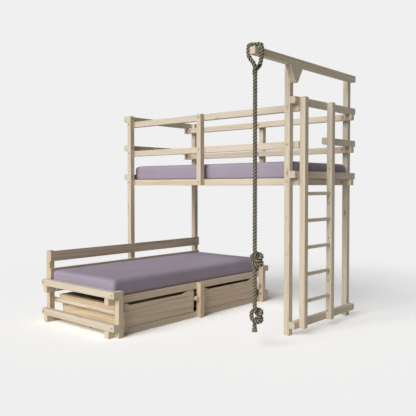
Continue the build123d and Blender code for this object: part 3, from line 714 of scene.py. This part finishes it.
def screws(name, node, zinc):
    """All the screws of one CAD node, with their recesses cut."""
    found = screw_places(node)
    places = bpy.data.meshes.new(name + "_places")
    places.from_pydata([tuple(head) for head, out, length in found], [], [])
    facings = places.attributes.new("facing", "FLOAT_VECTOR", "POINT")
    facings.data.foreach_set("vector", np.array([out for head, out, length in found]).ravel())
    lengths = places.attributes.new("length", "FLOAT", "POINT")
    lengths.data.foreach_set("value", [length for head, out, length in found])
    driver = Jig(
        name + "_jig",
        Head_radius=0.0045,
        Shank_radius=0.00225,
        Head_height=0.0025,
        Recess_depth=0.0017,
        Recess_span=0.0048,
        Recess_width=0.0011,
    )
    sizes = driver.sizes
    head = driver.node(
        "GeometryNodeMeshCone",
        Vertices=20,
        Radius_Top=sizes["Head radius"],
        Radius_Bottom=sizes["Shank radius"],
        Depth=sizes["Head height"],
    ).outputs[0]
    below_head = driver.maths("MULTIPLY", sizes["Head height"], -1.0)
    head = driver.moved(head, driver.vector(z=below_head))
    twice = driver.maths("MULTIPLY", sizes["Recess depth"], 2.0)
    wings = [
        driver.node("GeometryNodeMeshCube", Size=driver.vector(long, wide, twice)).outputs[0]
        for long, wide in (
            (sizes["Recess span"], sizes["Recess width"]),
            (sizes["Recess width"], sizes["Recess span"]),
        )
    ]
    head = driver.node(
        "GeometryNodeMeshBoolean", {"operation": "DIFFERENCE", "solver": "EXACT"}, i0=head, i1=wings
    ).outputs[0]
    shank = driver.node(
        "GeometryNodeMeshCylinder", Vertices=12, Radius=sizes["Shank radius"], Depth=1.0
    ).outputs[0]
    shank = driver.moved(shank, (0.0, 0.0, -0.5))
    facing = driver.node(
        "GeometryNodeInputNamedAttribute", {"data_type": "FLOAT_VECTOR"}, Name="facing"
    ).outputs["Attribute"]
    length = driver.node(
        "GeometryNodeInputNamedAttribute", {"data_type": "FLOAT"}, Name="length"
    ).outputs["Attribute"]
    turned = driver.node("FunctionNodeAlignRotationToVector", {"axis": "Z"}, Vector=facing).outputs[0]
    heads = driver.node(
        "GeometryNodeInstanceOnPoints", Points=sizes["Places"], Instance=head, Rotation=turned
    ).outputs[0]
    necks = driver.node(
        "GeometryNodeSetPosition",
        Geometry=sizes["Places"],
        Offset=driver.node(
            "ShaderNodeVectorMath", {"operation": "SCALE"}, i0=facing, Scale=below_head
        ).outputs[0],
    ).outputs[0]
    shanks = driver.node(
        "GeometryNodeInstanceOnPoints",
        Points=necks,
        Instance=shank,
        Rotation=turned,
        Scale=driver.vector(1.0, 1.0, driver.maths("SUBTRACT", length, sizes["Head height"])),
    ).outputs[0]
    whole = driver.node("GeometryNodeJoinGeometry", Geometry=[heads, shanks]).outputs[0]
    return driver.made(name, whole, zinc, places)


zinc = plated("zinc_plated_steel", (0.62, 0.60, 0.54), 0.30)
for name, node, body in (
    ("frame_wood_screws", "frame_screws", "root"),
    ("near_drawer_wood_screws", "near_drawer_screws", "near_drawer"),
    ("far_drawer_wood_screws", "far_drawer_screws", "far_drawer"),
):
    set_of_screws = screws(name, node, zinc)
    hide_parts(node)
    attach(set_of_screws, body)


# The mattresses are foam blocks in a tight, smooth cover of mauve cotton. The foam swells the cover
# a little on the top, draws its sides in between the corners, and rounds every edge.
def woven_cover():
    recipe = Recipe("mauve_cover")
    parts = recipe.node("ShaderNodeSeparateXYZ", Vector=recipe.place)
    threads = [
        recipe.maths("SINE", recipe.maths("MULTIPLY", parts.outputs[axis], 2 * math.pi / 0.0011))
        for axis in ("X", "Y", "Z")
    ]
    weave = recipe.maths("ADD", recipe.maths("MULTIPLY", threads[0], threads[1]), threads[2])
    slub = recipe.noise(700.0)
    base = recipe.ramp(recipe.noise(3.5, 3.0), (0.3, (0.352, 0.299, 0.370)), (0.7, (0.382, 0.326, 0.401)))
    fleck = recipe.ramp(slub, (0.3, (0.92, 0.92, 0.92)), (0.7, (1.0, 1.0, 1.0)))
    colour = recipe.mixed(1.0, base, fleck, "MULTIPLY")
    crease = recipe.maths("MULTIPLY_ADD", slub, 0.2, recipe.maths("MULTIPLY", recipe.noise(9.0), 1.2))
    height = recipe.maths("MULTIPLY_ADD", weave, 0.12, crease)
    return recipe.finish(
        colour, 0.88, height, 0.22, 0.0012, Sheen_Weight=0.03, Sheen_Roughness=0.5, Specular_IOR_Level=0.15
    )


cover = woven_cover()


def foam_block(name, node):
    """A mattress cut a little lower than its CAD solid, swollen by a cloth pass."""
    low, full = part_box(node)
    swell_room = 0.007
    high = full - Vector((0, 0, swell_room))
    middle, half = (low + high) / 2, (high - low) / 2
    mesh = bmesh.new()
    bmesh.ops.create_cube(mesh, size=2)
    for vertex in mesh.verts:
        vertex.co = middle + Vector(a * b for a, b in zip(vertex.co, half))
    upright = [e for e in mesh.edges if abs(e.verts[0].co.z - e.verts[1].co.z) > 0.01]
    corner_round, top_round, bottom_round = 0.026, 0.030, 0.010
    bmesh.ops.bevel(mesh, geom=upright, offset=corner_round, segments=8, profile=0.5, affect="EDGES")
    level = [e for e in mesh.edges if abs(e.verts[0].co.z - e.verts[1].co.z) < 1e-5]
    flat = [e for e in level if e.calc_face_angle(0) > 1]
    for rim, offset in ((high.z, top_round), (low.z, bottom_round)):
        edges = [e for e in flat if e.is_valid and abs(e.verts[0].co.z - rim) < 1e-4]
        bmesh.ops.bevel(mesh, geom=edges, offset=offset, segments=8, profile=0.5, affect="EDGES")
    block = finished(name, mesh)
    remesh = block.modifiers.new("remesh", "REMESH")
    remesh.mode = "VOXEL"
    remesh.voxel_size = 0.0136
    bpy.context.view_layer.objects.active = block
    block.select_set(True)
    bpy.ops.object.modifier_apply(modifier=remesh.name)
    rest = np.array([vertex.co for vertex in block.data.vertices], float)
    share = (rest - middle) / half
    draw_in = 0.005
    for axis, other in ((0, 1), (1, 0)):
        hollow = np.clip(1 - share[:, other] ** 2, 0, 1)
        rest[:, axis] -= draw_in * hollow * np.sign(share[:, axis]) * np.abs(share[:, axis]) ** 9
    move = np.zeros_like(rest)
    block.data.vertices.foreach_set("co", rest.ravel())
    block.data.update()
    cloth = block.modifiers.new("swell", "CLOTH")
    cloth.settings.use_pressure = True
    cloth.settings.uniform_pressure_force = 4
    cloth.settings.quality = 5
    cloth.settings.tension_stiffness = 60
    cloth.settings.compression_stiffness = 60
    cloth.settings.bending_stiffness = 20
    cloth.settings.effector_weights.gravity = 0
    for step in range(1, 21):
        scene.frame_set(step)
    blown = block.evaluated_get(bpy.context.evaluated_depsgraph_get())
    move = np.array([vertex.co for vertex in blown.data.vertices], float) - rest
    size = np.linalg.norm(move, axis=1)[:, None]
    swell_cap = 0.007
    move *= np.minimum(1, swell_cap / np.maximum(size, 1e-9))
    block.modifiers.remove(cloth)
    scene.frame_set(1)
    crown = np.clip(1 - share[:, 0] ** 4, 0, 1) * np.clip(1 - share[:, 1] ** 4, 0, 1)
    crown = crown * np.clip(share[:, 2], 0, 1)
    lying = np.clip((rest[:, 2] - low.z) / 0.03, 0, 1)
    lumps = 1 + 0.6 * np.sin(4.3 * rest[:, 0] + 1.1) * np.cos(5.2 * rest[:, 1])
    crown_height = 0.003
    move[:, 2] = np.maximum(move[:, 2], 0) * lying + crown_height * crown * lumps
    swollen = np.clip(rest + move, np.array(low), np.array(full))
    block.data.vertices.foreach_set("co", swollen.ravel())
    block.data.update()
    smooth = block.modifiers.new("smooth", "SUBSURF")
    smooth.levels = 1
    smooth.render_levels = 1
    bpy.ops.object.modifier_apply(modifier=smooth.name)
    block.data.polygons.foreach_set("use_smooth", [True] * len(block.data.polygons))
    block.select_set(False)
    return block


for name in ("upper_mattress", "lower_mattress"):
    mattress = foam_block(name + "_cover", name)
    paint(mattress, cover)
    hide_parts(name)
    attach(mattress, "root")

# The studio has a pale floor that runs out of sight into an even pale grey. One very large soft
# lamp shines from the front, a third of the way up, a weak one shines level from behind on the
# left, and the backdrop adds a little even light.
backdrop_grey = (0.871, 0.871, 0.871, 1)
floor_mesh = bmesh.new()
bmesh.ops.create_grid(floor_mesh, x_segments=1, y_segments=1, size=60)
floor = finished("studio_floor", floor_mesh)
floor.location = (1.0, 0.0, -0.0005)
ground = Recipe("studio_floor")
ground.shader.inputs["Roughness"].default_value = 1.0
ground.shader.inputs["Specular IOR Level"].default_value = 0.0
ray = ground.node("ShaderNodeLightPath").outputs
seen = ground.maths("MAXIMUM", ray["Is Camera Ray"], ray["Is Glossy Ray"])
from_bed = ground.node("ShaderNodeVectorMath", {"operation": "LENGTH"}, i0=ground.place).outputs["Value"]
fade = ground.node(
    "ShaderNodeMapRange", {"interpolation_type": "SMOOTHSTEP"}, Value=from_bed, From_Min=2.2, From_Max=5.5
).outputs[0]
pale = ground.maths("MULTIPLY_ADD", ground.spread(from_bed, 2.5, 8.0), -0.50, 0.82)
ground.tree.links.new(pale, ground.shader.inputs["Base Color"])
lift = ground.maths("MULTIPLY", seen, ground.maths("SUBTRACT", 1.27, pale))
lift = ground.node("ShaderNodeBsdfDiffuse", Color=lift).outputs[0]
lit = ground.node("ShaderNodeAddShader", i0=ground.shader.outputs[0], i1=lift).outputs[0]
spot = ground.node("ShaderNodeSeparateXYZ", Vector=ground.place).outputs
beside = ground.maths("SUBTRACT", ground.maths("ABSOLUTE", ground.maths("ADD", spot["X"], 0.51)), 0.52)
beyond = ground.maths("SUBTRACT", ground.maths("ABSOLUTE", spot["Y"]), 1.05)
clear = ground.maths("MAXIMUM", ground.maths("MAXIMUM", beside, beyond), 0.0)
air_glow = ground.maths("MULTIPLY", ground.spread(clear, 0.04, 0.5), 0.42)
fade = ground.maths("MAXIMUM", fade, air_glow)
glow = ground.node("ShaderNodeEmission", Color=backdrop_grey, Strength=1.0).outputs[0]
mix = ground.node("ShaderNodeMixShader", i0=ground.maths("MULTIPLY", seen, fade), i1=lit, i2=glow)
ground.tree.links.new(mix.outputs[0], ground.surface)
paint(floor, ground.material)
world = bpy.data.worlds.new("studio")
scene.world = world
world.use_nodes = True
world.node_tree.nodes.clear()
air = Bench()
air.tree = world.node_tree
ray = air.node("ShaderNodeLightPath").outputs
seen = air.maths("MAXIMUM", ray["Is Camera Ray"], ray["Is Glossy Ray"])
seen = air.maths("MAXIMUM", seen, ray["Is Transmission Ray"])
even = air.node("ShaderNodeBackground", Color=(1.0, 0.97, 0.94, 1), Strength=0.09).outputs[0]
shown = air.node("ShaderNodeBackground", Color=backdrop_grey, Strength=1.0).outputs[0]
both = air.node("ShaderNodeMixShader", i0=seen, i1=even, i2=shown).outputs[0]
air.node("ShaderNodeOutputWorld", i0=both)
lamp_aim = Vector((1.0, 0.0, 0.9))
for name, width, energy, lamp_place in (
    ("soft_box", 46, 3.3, Vector((1.6, -10.0, 7.4))),
    ("back_light", 16, 1.0, Vector((-6.0, 9.0, 0.9))),
):
    lamp_data = bpy.data.lights.new(name, "SUN")
    lamp_data.angle = math.radians(width)
    lamp_data.energy = energy
    lamp = bpy.data.objects.new(name, lamp_data)
    lamp.location = lamp_place
    lamp.rotation_euler = (lamp_aim - lamp_place).to_track_quat("-Z", "Y").to_euler()
    scene.collection.objects.link(lamp)
scene.view_settings.view_transform = "Standard"
